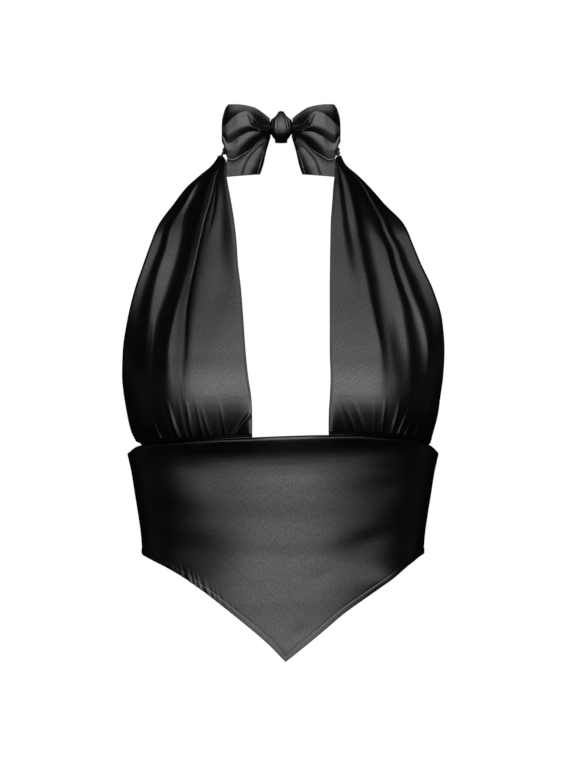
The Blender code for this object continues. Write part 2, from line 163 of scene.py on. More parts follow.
def linear(hex_colour):
    """A screen colour such as "#101010" as the light values that a shader takes."""
    steps = np.array([int(hex_colour[k : k + 2], 16) for k in (1, 3, 5)]) / 255
    light = np.where(steps <= 0.04045, steps / 12.92, ((steps + 0.055) / 1.055) ** 2.4)
    return (*light.tolist(), 1.0)


def add(tree, kind, settings, links):
    """Adds one shader node. Settings are its inputs' values or its own options, and links feed its inputs."""
    node = tree.nodes.new("ShaderNode" + kind)
    for name, value in settings.items():
        if name in node.inputs:
            node.inputs[name].default_value = value
        else:
            setattr(node, name, value)
    for name, socket in links.items():
        tree.links.new(socket, node.inputs[name])
    return node


def woven_satin(name, dark, light, roughness, lie):
    """Polyester satin. Fine long noise along the warp stands for its floats: it makes them catch more or
    less light, lie a little higher or lower and differ in colour. Broad noise makes the gloss uneven."""
    material = bpy.data.materials.new(name)
    material.use_nodes = True
    tree = material.node_tree
    cloth = add(tree, "UVMap", {"uv_map": "cloth"}, {}).outputs["UV"]
    across, warp = 1 / (FLOAT_WIDTH * MM), 1 / (FLOAT_WIDTH * FLOAT_LENGTH * MM)
    lay = add(tree, "Mapping", {"Scale": (across, warp, 1)}, {"Vector": cloth}).outputs["Vector"]
    flat = {"noise_dimensions": "2D", "Detail": 2}
    floats = add(tree, "TexNoise", flat | {"Scale": 1}, {"Vector": lay}).outputs["Fac"]
    flat["Scale"] = 1 / (GLOSS_PATCH * MM)
    patches = add(tree, "TexNoise", flat, {"Vector": cloth}).outputs["Fac"]
    colour = add(tree, "Mix", {"data_type": "RGBA"}, {"Factor": floats})
    ends = [s for s in colour.inputs if s.type == "RGBA"]
    ends[0].default_value, ends[1].default_value = linear(dark), linear(light)
    bump = add(tree, "Bump", {"Strength": 1, "Distance": lie * MM}, {"Height": floats})
    shader = tree.nodes["Principled BSDF"].inputs
    shader["IOR"].default_value = 1.5
    tree.links.new(next(s for s in colour.outputs if s.type == "RGBA"), shader["Base Color"])
    tree.links.new(bump.outputs["Normal"], shader["Normal"])
    # Noise mostly runs from 0.3 to 0.7. It is turned into a range round each middle value.
    uneven = {"Specular IOR Level": (floats, 0.5, FLOAT_CATCH), "Roughness": (patches, roughness, GLOSS_GIVE)}
    for wanted, (noise, middle, give) in uneven.items():
        ends = {"From Min": 0.3, "From Max": 0.7, "To Min": middle - give, "To Max": middle + give}
        spread = add(tree, "MapRange", ends, {"Value": noise})
        tree.links.new(spread.outputs["Result"], shader[wanted])
    return material


# Satin floats are about 0.1 mm wide. They are drawn 1.1 mm wide, the finest that shows at this distance.
FLOAT_WIDTH = 1.1
FLOAT_LENGTH = 2.0  # how many times longer than wide a float is drawn
FLOAT_CATCH = 0.11  # how much more or less light a float catches, where 0.5 is the usual shine
GLOSS_PATCH = 22.0  # the size of patches that are a little more or less glossy
GLOSS_GIVE = 0.015  # how much rougher or smoother they are
# Black polyester satin, woven with its floats on the face: near-black, with a soft broad shine.
satin_face = woven_satin("black polyester satin, face", "#010101", "#020203", roughness=0.34, lie=0.03)
# The same cloth's wrong side has short floats, so its shine is duller and wider.
satin_back = woven_satin("black polyester satin, wrong side", "#020203", "#040405", roughness=0.46, lie=0.04)


def put(name, data):
    """Puts a mesh, a lamp or a camera into the scene as one object."""
    thing = bpy.data.objects.new(name, data)
    bpy.context.scene.collection.objects.link(thing)
    return thing


def cloth_piece(name, node, points, faces, uv, wrong_side=None):
    """Makes one cloth mesh from points in mm, a list of faces, cloth coordinates in mm for each point and,
    for each face, whether it is on the wrong side. It rides on the one body and takes a node's place."""
    mesh = bpy.data.meshes.new(name)
    mesh.from_pydata((points * MM).tolist(), [], faces)
    mesh.materials.append(satin_face)
    if wrong_side is not None:
        mesh.materials.append(satin_back)
        mesh.polygons.foreach_set("material_index", wrong_side.astype(np.int32))
    layer = mesh.uv_layers.new(name="cloth")
    corners = np.empty(len(mesh.loops), np.int32)
    mesh.loops.foreach_get("vertex_index", corners)
    layer.data.foreach_set("uv", (uv * MM)[corners].astype(np.float32).ravel())
    mesh.shade_smooth()
    piece = put(name, mesh)
    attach(piece, "root")
    if node:
        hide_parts(node)
    return piece


def grid_faces(numbers):
    """The four-cornered faces of a grid of point numbers."""
    corners = (numbers[:-1, :-1], numbers[1:, :-1], numbers[1:, 1:], numbers[:-1, 1:])
    return np.stack(corners, axis=-1).reshape(-1, 4)


def cloth_wall(name, node, outer, thickness, facing=1):
    """A closed wall of cloth. Its face is this grid of points, its wrong side is the same grid moved in by
    the thickness along the normal, and half rings join them round the rim. The normal is the cross of
    the step down the grid and the step across it, turned round where `facing` is -1."""
    down, across = np.gradient(outer, axis=(0, 1))
    normal = unit(np.cross(down, across)) * facing
    inner = outer - normal * thickness
    number = np.arange(outer[..., 0].size).reshape(outer.shape[:2])
    border = np.concatenate([number[0, :-1], number[:-1, -1], number[-1, :0:-1], number[:0:-1, 0]])
    edge, edge_normal = outer.reshape(-1, 3)[border], normal.reshape(-1, 3)[border]
    run = np.roll(edge, -1, axis=0) - np.roll(edge, 1, axis=0)
    away = -facing * unit(np.cross(run, edge_normal))
    bends = np.pi * np.arange(1, RIM_RINGS) / RIM_RINGS
    half = edge_normal * thickness / 2
    rings = [edge - half * (1 - np.cos(b)) + away * RIM_ROUND * np.sin(b) for b in bends]
    points = np.concatenate([outer.reshape(-1, 3), inner.reshape(-1, 3), *rings])

    u = running(np.linalg.norm(np.diff(outer, axis=1), axis=2))
    length = np.linalg.norm(np.diff(outer, axis=0), axis=2).mean(axis=1)
    v = -running(length)[:, None] + 0 * u
    uv = np.stack([u, v], axis=-1).reshape(-1, 2)
    uv = np.concatenate([uv, uv] + [uv[border]] * len(rings))

    first_ring = 2 * number.size + np.arange(len(border))
    numbers = [border, *(first_ring + k * len(border) for k in range(len(rings))), border + number.size]
    pairs = zip(numbers[:-1], numbers[1:])
    strips = [np.stack([a, np.roll(a, -1), np.roll(b, -1), b], axis=-1) for a, b in pairs]
    face, rim, back = grid_faces(number), np.concatenate(strips), grid_faces(number + number.size)[:, ::-1]
    faces = np.concatenate([face, rim, back])
    wrong_side = np.arange(len(faces)) >= len(face) + len(rim)
    faces = faces if facing > 0 else faces[:, ::-1]
    return cloth_piece(name, node, points, faces.tolist(), uv, wrong_side)


def band_top(turn):
    """Height of the front band's top edge at this turn from the middle."""
    return read(TOP, turn)[0]


def band_hem(turn):
    """Height of the front band's pointed hem: its left or its right curve, by the turn from its point."""
    from_point = turn - HEM_POINT_TURN
    left, right = read(HEM, np.abs(from_point))
    return np.where(from_point < 0, left, right)


def figure_point(turn, height, half, out=0.0):
    """A point of the worn midriff, `out` mm proud of it: the half width times the sine of the turn, and
    the half depth in front or behind times its cosine. A turn of 0 is the middle of the front."""
    width, *depths = read(FIGURE, height)
    angle = np.radians(turn)
    x, y = (width + out) * np.sin(angle), -(depths[half] + out) * np.cos(angle)
    return np.stack([x, y, height + 0 * angle], axis=-1)


def swells(table, turn, height):
    """How far a table of leaning bells lifts the cloth: the sum of each bell's height there."""
    total = 0.0 * turn
    for middle, level, out, degrees, tall, lean in table:
        aside = turn - middle - lean * (height - level)
        total += out * hump(aside, degrees) * hump(height - level, tall)
    return total


def hem_relief(above):
    """How far a turned hem stands out, by the distance above its edge: a step, with a dip at the stitches."""
    step = HEM_STEP * (1 - smooth_step((above - HEM_FOLD + STEP_FADE[0]) / STEP_FADE[1]))
    return step - STITCH_DIP * hump(above - HEM_FOLD, STITCH_REACH)


def front_point(turn, height, extra=0.0):
    """A point of the front band's face: the figure, with `extra` outwards near the hem. Its rolled top edge,
    the dip below that and the swells push it straight forward."""
    below = band_top(turn) - height
    middle, under_cup = read(ROLL, below)
    under = smooth_step((np.abs(turn - CUPS_MIDDLE) - CUP_TURNS[0]) / (CUP_TURNS[1] - CUP_TURNS[0]))
    out = middle + under * (under_cup - middle)
    fading = smooth_step((below - SWELLS_START) / SWELLS_EASE)
    forward = out * np.cos(np.radians(turn)) ** 2 + fading * swells(BAND_SWELLS, turn, height)
    return figure_point(turn, height, IN_FRONT, extra) - forward[..., None] * [0, 1, 0]


side_turn = 90 - SIDE_SEAM_TURN
turns = np.concatenate([
    np.linspace(-side_turn, HEM_POINT_TURN, BAND_COLUMNS, endpoint=False),
    np.linspace(HEM_POINT_TURN, side_turn, BAND_COLUMNS + 1),
])
top, hem = band_top(turns), band_hem(turns)
climb = np.gradient(hem, np.radians(turns)) / FIGURE_RADIUS
steep = np.cos(np.arctan(climb))  # a hem that climbs is nearer than it is low
near_hem = hem + NEAR_HEM[:, None] / steep
between = np.linspace(0, 1, BETWEEN_ROWS + 1)[:, None]
heights = np.concatenate([
    (top - NEAR_TOP[:, None])[:-1],
    top - NEAR_TOP[-1] + between * (near_hem[0] - top + NEAR_TOP[-1]),
    near_hem[1:],
])
turn_grid = turns + 0 * heights
above_hem = (heights - hem) * steep
round_hem = running(np.hypot(np.diff(hem), FIGURE_RADIUS * np.diff(np.radians(turns))))
pucker_place = 2 * np.pi * (round_hem + PUCKERS["slant"] * above_hem)
waver = PUCKERS["waver"] * np.sin(pucker_place / PUCKERS["waver_length"])
pucker = PUCKERS["out"] * np.sin(pucker_place / PUCKERS["spacing"] + waver)
pucker *= hump(turns - PUCKERS["turn"], PUCKERS["degrees"])
pucker *= hump(above_hem - PUCKERS["above_hem"], PUCKERS["reach"])
band_face = front_point(turn_grid, heights, hem_relief(above_hem) + pucker)
front_band = cloth_wall("front_midriff_band", "front_band", band_face, CLOTH)

# == The back of the midriff band
# A straight strip of the same satin that closes the band behind. It is sewn to the front band at both
# side seams, and its top edge and hem are turned in once and stitched.
BACK_TOP = -311.0
BACK_HEM = -403.3
BACK_COLUMNS = 170
BACK_MARGIN = 10.5  # its rows are closer within this distance of its edges
BACK_MIDDLE_ROWS = 34
BACK_SWELLS = (
    (128, -352, 1.6, 10, 22, 0.25), (150, -372, -1.4, 12, 16, -0.3), (176, -340, 1.3, 14, 14, 0.2),
    (196, -375, -1.5, 12, 18, 0.3), (226, -350, 1.6, 11, 24, -0.25),
)
back_turns = np.linspace(90 + SIDE_SEAM_TURN, 270 - SIDE_SEAM_TURN, BACK_COLUMNS + 1)
back_heights = np.concatenate([
    BACK_TOP - NEAR_HEM[::-1],
    np.linspace(BACK_TOP - BACK_MARGIN, BACK_HEM + BACK_MARGIN, BACK_MIDDLE_ROWS),
    BACK_HEM + NEAR_HEM,
])
turn_grid, height_grid = np.meshgrid(back_turns, back_heights)
back_lift = hem_relief(BACK_TOP - height_grid) + hem_relief(height_grid - BACK_HEM)
back_lift += swells(BACK_SWELLS, turn_grid, height_grid)
back_face = figure_point(turn_grid, height_grid, BEHIND, back_lift)
back_band = cloth_wall("back_midriff_band", "back_band", back_face, CLOTH)

# == The hem's lockstitches
# Black polyester sewing thread, one row of lockstitches that holds the turned hem, front and back, and
# the back band's top edge. Each stitch is a short bead of thread pressed into the cloth.
STITCH_LENGTH = 2.5
STITCH_SPACING = 3.3
THREAD_HALF = 0.21
THREAD_LEVEL = -0.05  # where its middle lies, out from the plain figure
BEAD_SIDES = 6
BEAD_ENDS = (-1.0, -0.86, -0.5, 0.5, 0.86, 1.0)  # along a bead, as shares of half its length
BEAD_GIRTH = (0.15, 0.75, 1.0, 1.0, 0.75, 0.15)  # and how thick it is there


def facing_out(points):
    """Normals on the midriff: each point's level direction out from the figure's axis."""
    return unit(points * [1, 1, 0])


def stitches(line):
    """Beads at even steps along a line of points: a bead's rings lie along the line's run, and its sides
    go round that run, in the plane of the normal and the third direction."""
    distance = running(np.linalg.norm(np.diff(line, axis=0), axis=1))
    at = np.arange(STITCH_SPACING, distance[-1] - STITCH_SPACING, STITCH_SPACING)
    middle, up, run = (
        np.stack([np.interp(at, distance, row) for row in rows.T], axis=-1)
        for rows in (line, facing_out(line), np.gradient(line, distance, axis=0))
    )
    run = unit(run)
    sideways = unit(np.cross(run, up))
    up = np.cross(sideways, run)
    angle = 2 * np.pi * np.arange(BEAD_SIDES) / BEAD_SIDES
    lengthwise = np.array(BEAD_ENDS)[:, None] * STITCH_LENGTH / 2 + 0 * angle
    girth = np.array(BEAD_GIRTH)[:, None] * THREAD_HALF
    local = np.stack([lengthwise, girth * np.cos(angle), girth * np.sin(angle)], axis=-1).reshape(-1, 3)
    frames = np.stack([run, up, sideways], axis=1)
    points = middle[:, None] + np.einsum("pk,skx->spx", local, frames)
    number = np.arange(len(local)).reshape(len(BEAD_ENDS), BEAD_SIDES)
    ring = np.concatenate([number, number[:, :1]], axis=1)
    first, last = number[0], number[-1]  # two faces close each end
    caps = [first[[3, 2, 1, 0]], first[[5, 4, 3, 0]], last[[0, 1, 2, 3]], last[[0, 3, 4, 5]]]
    bead = np.concatenate([grid_faces(ring)[:, ::-1], caps])
    faces = bead[None] + len(local) * np.arange(len(at))[:, None, None]
    u = (at[:, None] + local[:, 0]).ravel()
    return points.reshape(-1, 3), faces.reshape(-1, 4), np.stack([u, 0 * u], axis=-1)


rows = [stitches(front_point(turns, hem + HEM_FOLD / steep, THREAD_LEVEL))]
for level in (BACK_HEM + HEM_FOLD, BACK_TOP - HEM_FOLD):
    line = figure_point(back_turns, level, BEHIND, THREAD_LEVEL)
    rows.append(stitches(line + facing_out(line) * swells(BACK_SWELLS, back_turns, level)[:, None]))
points, faces, uv = zip(*rows)
starts = np.cumsum([0] + [len(row) for row in points])
faces = np.concatenate([row + start for row, start in zip(faces, starts)]).tolist()
hem_stitches = cloth_piece("hem_stitches", None, np.concatenate(points), faces, np.concatenate(uv))

# == The bust panels
# Two long panels of satin, each gathered at the foot onto the band's top edge and drawn together at the
# top into its neck tie. The pull of the tie sets long folds, and the gathers set short ones at the foot.
PANEL_TOP, PANEL_FOOT = -34.0, -298.0

# A panel by height: how far its inner and outer edge are from the middle, first on the left, then on the
# right, and how deep its plunge edge and its back edge lie.
PANEL = (
    (-298, 27.3, 131, 40.8, 134.6, -126.2, -50),
    (-295, 27.2, 133.6, 40.8, 135.1, -128.1, -53),
    (-291, 27.2, 136.2, 40.8, 136, -130.3, -56),
    (-285, 27.2, 139.2, 40.8, 137.7, -133.1, -59.5),
    (-278, 27.2, 141.2, 40.9, 139.8, -135.7, -63),
    (-270, 27.3, 142.9, 41.1, 141.6, -138, -66.5),
    (-262, 27.7, 144.4, 41.6, 142.7, -139.5, -68),
    (-254, 28.5, 145.5, 42.1, 143.7, -140.2, -69),
    (-240, 30.7, 146.6, 42.6, 145.4, -138.6, -68),
    (-217, 33.2, 145.9, 42.1, 146.5, -129, -63),
    (-189, 35.4, 142.2, 42.3, 144.7, -114.5, -55),
    (-161, 37.8, 136.3, 42.5, 137.3, -98, -45),
    (-136, 41, 128.6, 43, 126.6, -83, -36),
    (-118, 42.3, 122.9, 43.5, 119.9, -71.5, -30.5),
    (-98, 44.6, 115.9, 44.1, 112.2, -58.5, -22.5),
    (-77, 48.1, 102.8, 45.8, 94.5, -43, -13),
    (-62, 51, 91, 47, 81.5, -31, -6),
    (-50, 52.8, 78, 48.4, 69.6, -20, 1),
    (-42, 53, 68.2, 48.7, 60.2, -13, 5),
    (-38, 53.6, 64.6, 49, 57.2, -10.5, 7),
    (-34, 56.6, 61.4, 50.6, 55.2, -8, 9),
)

# The folds. Each line runs down a panel and has its name, its distance from the middle at each of
# FOLD_HEIGHTS, and how many degrees the cloth there faces aside: few on a crest, many in a trough.
FOLD_HEIGHTS = (-34, -50, -63, -77, -91, -106, -120, -136, -149, -161, -175, -189, -217, -248, -298)
LEFT_FOLDS = (
    ("plunge edge", (56.6, 53, 50.5, 48, 45.5, 43.5, 42, 41, 39.5, 38, 36.5, 35.4, 33.2, 29.5, 27.3),
     (60, 12, 5, 6, 10, 13, 13, 12, 11, 11, 10, 9, 6, 3, 2)),
    ("soft shade", (57, 56, 54.5, 53, 52.5, 52, 51.5, 50, 49, 50, 52, 54, 54, 50, 48),
     (60, 35, 30, 26, 26, 29, 24, 18, 15, 14, 13, 12, 6, 0, 0)),
    ("inner light", (57.3, 57.5, 57.5, 58, 59, 60, 60.5, 60.5, 61, 62, 64, 66, 68, 66, 63),
     (60, 36, 24, 14, 14, 11, 11, 10, 11, 12, 12, 12, 8, 4, 2)),
    ("shoulder", (57.6, 60.1, 60.5, 60.7, 61.6, 65.5, 69, 71.5, 74, 76, 77, 78, 79, 79, 75),
     (60, 40, 34, 24, 16, 15, 15, 17, 17, 16, 14, 12, 6, 10, 10)),
    ("wedge", (57.7, 60.9, 61.8, 62.2, 63.4, 67.5, 71, 73.5, 76, 78, 79, 80, 81, 81, 77),
     (60, 72, 76, 70, 36, 22, 18, 20, 20, 19, 17, 15, 8, 11, 11)),
    ("sliver", (57.8, 61.4, 63, 64, 65.6, 69.5, 73, 75.5, 78, 80, 81, 82, 83, 83, 79),
     (60, 34, 22, 12, 18, 20, 20, 22, 24, 24, 22, 20, 12, 12, 12)),
    ("crease edge", (58, 61.7, 63.5, 65.8, 69, 72.3, 75.2, 77.8, 80.2, 82.2, 83.4, 84.5, 85.5, 85.5, 81),
     (60, 50, 44, 36, 30, 30, 30, 31, 32, 32, 30, 28, 20, 15, 15)),
    ("crease", (58.3, 62, 64, 67, 70.5, 74.3, 77.2, 80, 82.5, 84.5, 86, 86.3, 87, 88, 83.5),
     (60, 66, 68, 76, 76, 76, 78, 80, 80, 76, 66, 48, 26, 17, 17)),
    ("crease lip", (58.6, 63, 65.3, 68.2, 71.7, 75.5, 78.5, 81.4, 84, 86.2, 87.8, 89.2, 90.5, 90.5, 86),
     (60, 14, 6, 4, 6, 8, 8, 8, 10, 12, 14, 14, 14, 18, 18)),
    ("grey strip", (59, 64.5, 67, 70, 73.5, 77, 80, 83, 85.7, 88, 92, 93.5, 95, 92.5, 88),
     (60, 26, 34, 26, 24, 28, 26, 22, 17, 15, 20, 14, 12, 21, 21)),
    ("strip end", (59.3, 66.5, 69.5, 72, 76.5, 79.5, 82.5, 86, 89, 91.5, 95.5, 98, 101.5, 98.5, 94),
     (60, 38, 26, 24, 34, 32, 26, 25, 22, 20, 12, 6, 4, 24, 24)),
    ("middle trough", (59.6, 68.5, 72.5, 76, 80, 84, 87.5, 90.5, 93.5, 96.5, 99.5, 102.5, 107, 106, 101),
     (60, 52, 60, 62, 60, 54, 54, 53, 51, 51, 53, 54, 51, 33, 33)),
    ("trough end", (59.9, 71, 75.5, 83, 88, 91, 94, 97, 100, 103, 107, 110.5, 113, 112, 106),
     (60, 54, 54, 54, 50, 40, 38, 40, 42, 42, 42, 44, 50, 40, 40)),
    ("ridge slope", (60.2, 73, 78.5, 86.5, 92, 95, 97.5, 101, 104.5, 107.5, 111.5, 115, 117, 117, 110.5),
     (60, 52, 36, 40, 26, 18, 15, 14, 14, 16, 18, 24, 38, 45, 45)),
    ("wide ridge", (60.5, 74.5, 81, 89, 95, 98.5, 101, 105, 108.5, 111.5, 115.5, 118, 120, 120.5, 113.5),
     (60, 56, 32, 14, 6, -2, -3, -3, -3, -3, -2, 2, 22, 49, 49)),
    ("ridge end", (60.8, 76, 83.5, 91.5, 98, 105.5, 107, 112, 114.5, 117, 119.5, 119.5, 123, 125, 117.5),
     (60, 46, 14, 8, 6, 2, 2, 0, 2, 4, 5, 8, 30, 53, 53)),
    ("side trough", (61, 77, 87, 93, 102.5, 110.5, 112.5, 117.5, 120.5, 123.5, 125.5, 127.5, 129, 131, 123),
     (60, 40, 50, 62, 62, 54, 50, 46, 44, 46, 48, 50, 52, 59, 59)),
    ("outer light", (61.2, 78, 90, 98.5, 108, 115, 119, 124, 128, 132.5, 135, 138, 139, 139.5, 130),
     (60, 60, 54, 52, 24, 3, 2, 12, 12, 14, 20, 28, 50, 66, 66)),
    ("side edge", (61.4, 79, 92, 102.5, 111, 119, 123.5, 128.5, 132, 136, 139, 141.5, 145.5, 146, 136.4),
     (60, 60, 52, 58, 24, 2, 2, 7, 12, 14, 22, 27, 52, 70, 70)),
)
RIGHT_FOLDS = (
    ("plunge edge", (50.6, 49, 47, 45.5, 44.5, 44, 43.5, 43, 42.6, 42.5, 42.4, 42.3, 42.1, 42.3, 40.8),
     (60, 5, 4, 6, 11, 14, 12, 10, 9, 9, 9, 9, 7, 3, 0)),
    ("inner light", (51, 51, 50.5, 51, 52, 53.5, 54.5, 55.5, 56.5, 57.5, 59, 60, 61.5, 62, 60),
     (60, 16, 10, 8, 8, 9, 9, 9, 9, 9, 9, 9, 6, 2, 0)),
    ("inner trough", (51.4, 53, 54.2, 55.5, 56.8, 59, 61, 63.5, 65.5, 67.5, 69.5, 72, 76.5, 77, 73.5),
     (60, 38, 44, 40, 34, 36, 30, 20, 13, 10, 8, 7, 5, 6, 6)),
    ("second light", (51.9, 56, 57.5, 59.5, 61, 63.5, 66.5, 69.5, 71.5, 73.5, 76, 79, 83, 83, 79),
     (60, 4, 4, 3, 6, 12, 13, 12, 10, 9, 7, 4, 3, 10, 10)),
    ("light end", (52.4, 58, 60.5, 62.5, 64.5, 67.3, 69, 71.5, 73.5, 75.5, 78, 81.5, 86.5, 86.5, 82.5),
     (60, 20, 22, 12, 12, 16, 16, 12, 10, 9, 9, 10, 8, 12, 12)),
    ("middle trough", (52.9, 61, 63.5, 67, 69.5, 72, 74.5, 77, 79, 81, 83, 85.5, 90.5, 91.5, 87.5),
     (60, 56, 58, 62, 56, 46, 44, 43, 42, 42, 40, 40, 30, 17, 17)),
    ("trough slope", (53.3, 63.5, 66, 70.5, 73, 76.5, 79, 82, 84.5, 86.5, 88.5, 91, 96.5, 98, 93.5),
     (60, 54, 48, 44, 34, 24, 24, 24, 24, 22, 20, 18, 14, 25, 25)),
    ("broad ridge", (53.6, 65.5, 69, 74, 78, 81.5, 85, 89, 92, 95, 97, 98, 101, 103.5, 98),
     (60, 50, 44, 38, 30, 14, 7, 3, 1, 1, 3, 14, 28, 30, 30)),
    ("ridge end", (53.9, 66.5, 71, 77.5, 81.5, 86.5, 92.5, 97, 99, 101.5, 104, 106, 110.5, 112, 106),
     (60, 48, 50, 46, 38, 22, 14, 4, 3, 2, 1, 2, 10, 38, 38)),
    ("third trough", (54.2, 68, 73, 80, 86, 92, 97, 101.5, 103.5, 108, 111.5, 113.5, 117.5, 118, 111),
     (60, 46, 56, 52, 46, 50, 54, 54, 52, 48, 44, 40, 44, 45, 45)),
    ("narrow ridge", (54.5, 69, 75.5, 83, 89.5, 95.5, 102, 107, 109.5, 113.5, 118, 123, 130, 129, 121.5),
     (60, 22, 18, 16, 12, 0, -2, -3, -3, -2, -1, 4, 8, 50, 50)),
    ("side trough", (54.7, 69.5, 77.5, 87, 94, 99.5, 106, 112, 116, 120, 125, 130, 134, 134, 126),
     (60, 60, 56, 60, 60, 36, 36, 38, 40, 42, 42, 42, 51, 58, 58)),
    ("outer light", (55, 70, 79, 91, 100.5, 104.5, 113, 120, 126, 130.5, 133, 136.5, 139.5, 138.5, 130),
     (60, 60, 58, 58, 26, 2, 4, 6, 8, 12, 13, 27, 48, 64, 64)),
    ("side edge", (55.2, 70.5, 80, 93, 104.5, 114.5, 118, 126, 130, 135.5, 139, 142.5, 145, 143.5, 134),
     (60, 60, 58, 58, 26, 2, 4, 6, 8, 12, 14, 30, 50, 70, 70)),
)
EDGE_ROLL = 2.5  # how wide the turn at a panel's side is, seen from the front
EDGE_ROLL_SHARE = 0.25  # the most of the panel's width that it takes
WRAP_IN = 1.5  # how far the cloth's back edge comes in behind that
SHORTEST_SIDE = 3.0  # how far the cloth reaches back past its turn, at least
PLUNGE_TURN_BACK, PLUNGE_TURN_WIDE = 0.9, 1.6  # how far and how wide the turned plunge edge dips back
GATHER_LEVEL = -289.0  # the height at which the gathers' places are measured
TUCK_HEIGHT = 3.4  # how high the last turn in to the seam is
TUCK_CLEAR = 0.5  # how far above the band's edge that turn ends
SEAM_TUCK = 1.6  # how far down inside the band's top edge a panel's foot goes
SEAM_TURNS = {LEFT: (11.1, 64.6), RIGHT: (16.8, 69.0)}  # where each seam starts and ends on the band
FOOT_START = -262.0  # below this height each line down a panel is fitted to its own place on the seam
SEAM_START = -290.0  # below this one the rows are closest
ROWS_DOWN = (112, 24, 26)  # rows down to each of those two and to the foot
PANEL_ROWS = np.concatenate([
    np.linspace(PANEL_TOP, FOOT_START, ROWS_DOWN[0])[:-1],
    np.linspace(FOOT_START, SEAM_START, ROWS_DOWN[1])[:-1],
    np.linspace(SEAM_START, PANEL_FOOT, ROWS_DOWN[2]),
])
LINES_PER_FOLD, TURN_LINES, SIDE_LINES = 14, 14, 20
LINE_SPREAD = 2.0  # how much wider a span counts than it is, when its lines are shared out by width
PLACE_EVENNESS = 7.0  # how far along a fold its place is evened out, at most
DEPTH_EVENNESS = 28.0  # and its depth
EVENNESS_SHARE = 0.14  # near the top that is this share of the way down from it
EVENNESS_LEAST = 2.0  # and at least this

# Gathers at the foot. Under a cup the cloth draws in to its seam, and along a gather it hangs forward by
# a share of that: how far from the middle each is, its half width, the share, and its lean, as mm
# further out for each mm up.
LEFT_GATHERS = (
    (27, 7.5, 0.84, 0), (46.5, 2, 0.36, -0.7), (49.5, 1.6, 0.3, 0.15), (57, 2.2, 0.1, 0),
    (64, 1.6, 0.16, 0.2), (70.5, 1.5, 0.2, 0.1), (79.7, 1.7, 0.36, 0.08), (86, 2, 0.12, 0.1),
    (92.3, 1.7, 0.36, 0.2), (101, 2.4, 0.1, 0.1), (110, 1.9, 0.28, 0.15), (119, 2, 0.1, 0.2),
    (127, 2, 0.14, 0.2),
)
RIGHT_GATHERS = (
    (42, 6.5, 0.7, 0), (57.5, 1.6, 0.12, -0.3), (67, 1.6, 0.13, -0.4), (75.7, 1.7, 0.15, -0.4),
    (82, 1.8, 0.18, -0.1), (88, 1.5, 0.34, 0), (96.8, 1.8, 0.38, 0.09), (102.7, 1.5, 0.26, 0.2),
    (108.6, 1.5, 0.2, 0.28), (120, 1.7, 0.26, 0.05), (129, 1.6, 0.16, 0.1),
)


def smoothed(rows, lines, reach):
    """Lines down a panel, each made even along its length: every row becomes a mean of the rows near it,
    weighted by a bell of their distance in height. It reaches less far near the top."""
    reach = np.clip(EVENNESS_SHARE * (PANEL_TOP - rows), EVENNESS_LEAST, reach)[:, None]
    weight = hump(rows[:, None] - rows[None, :], reach) * np.gradient(-rows)
    return (weight / weight.sum(axis=1, keepdims=True)) @ lines


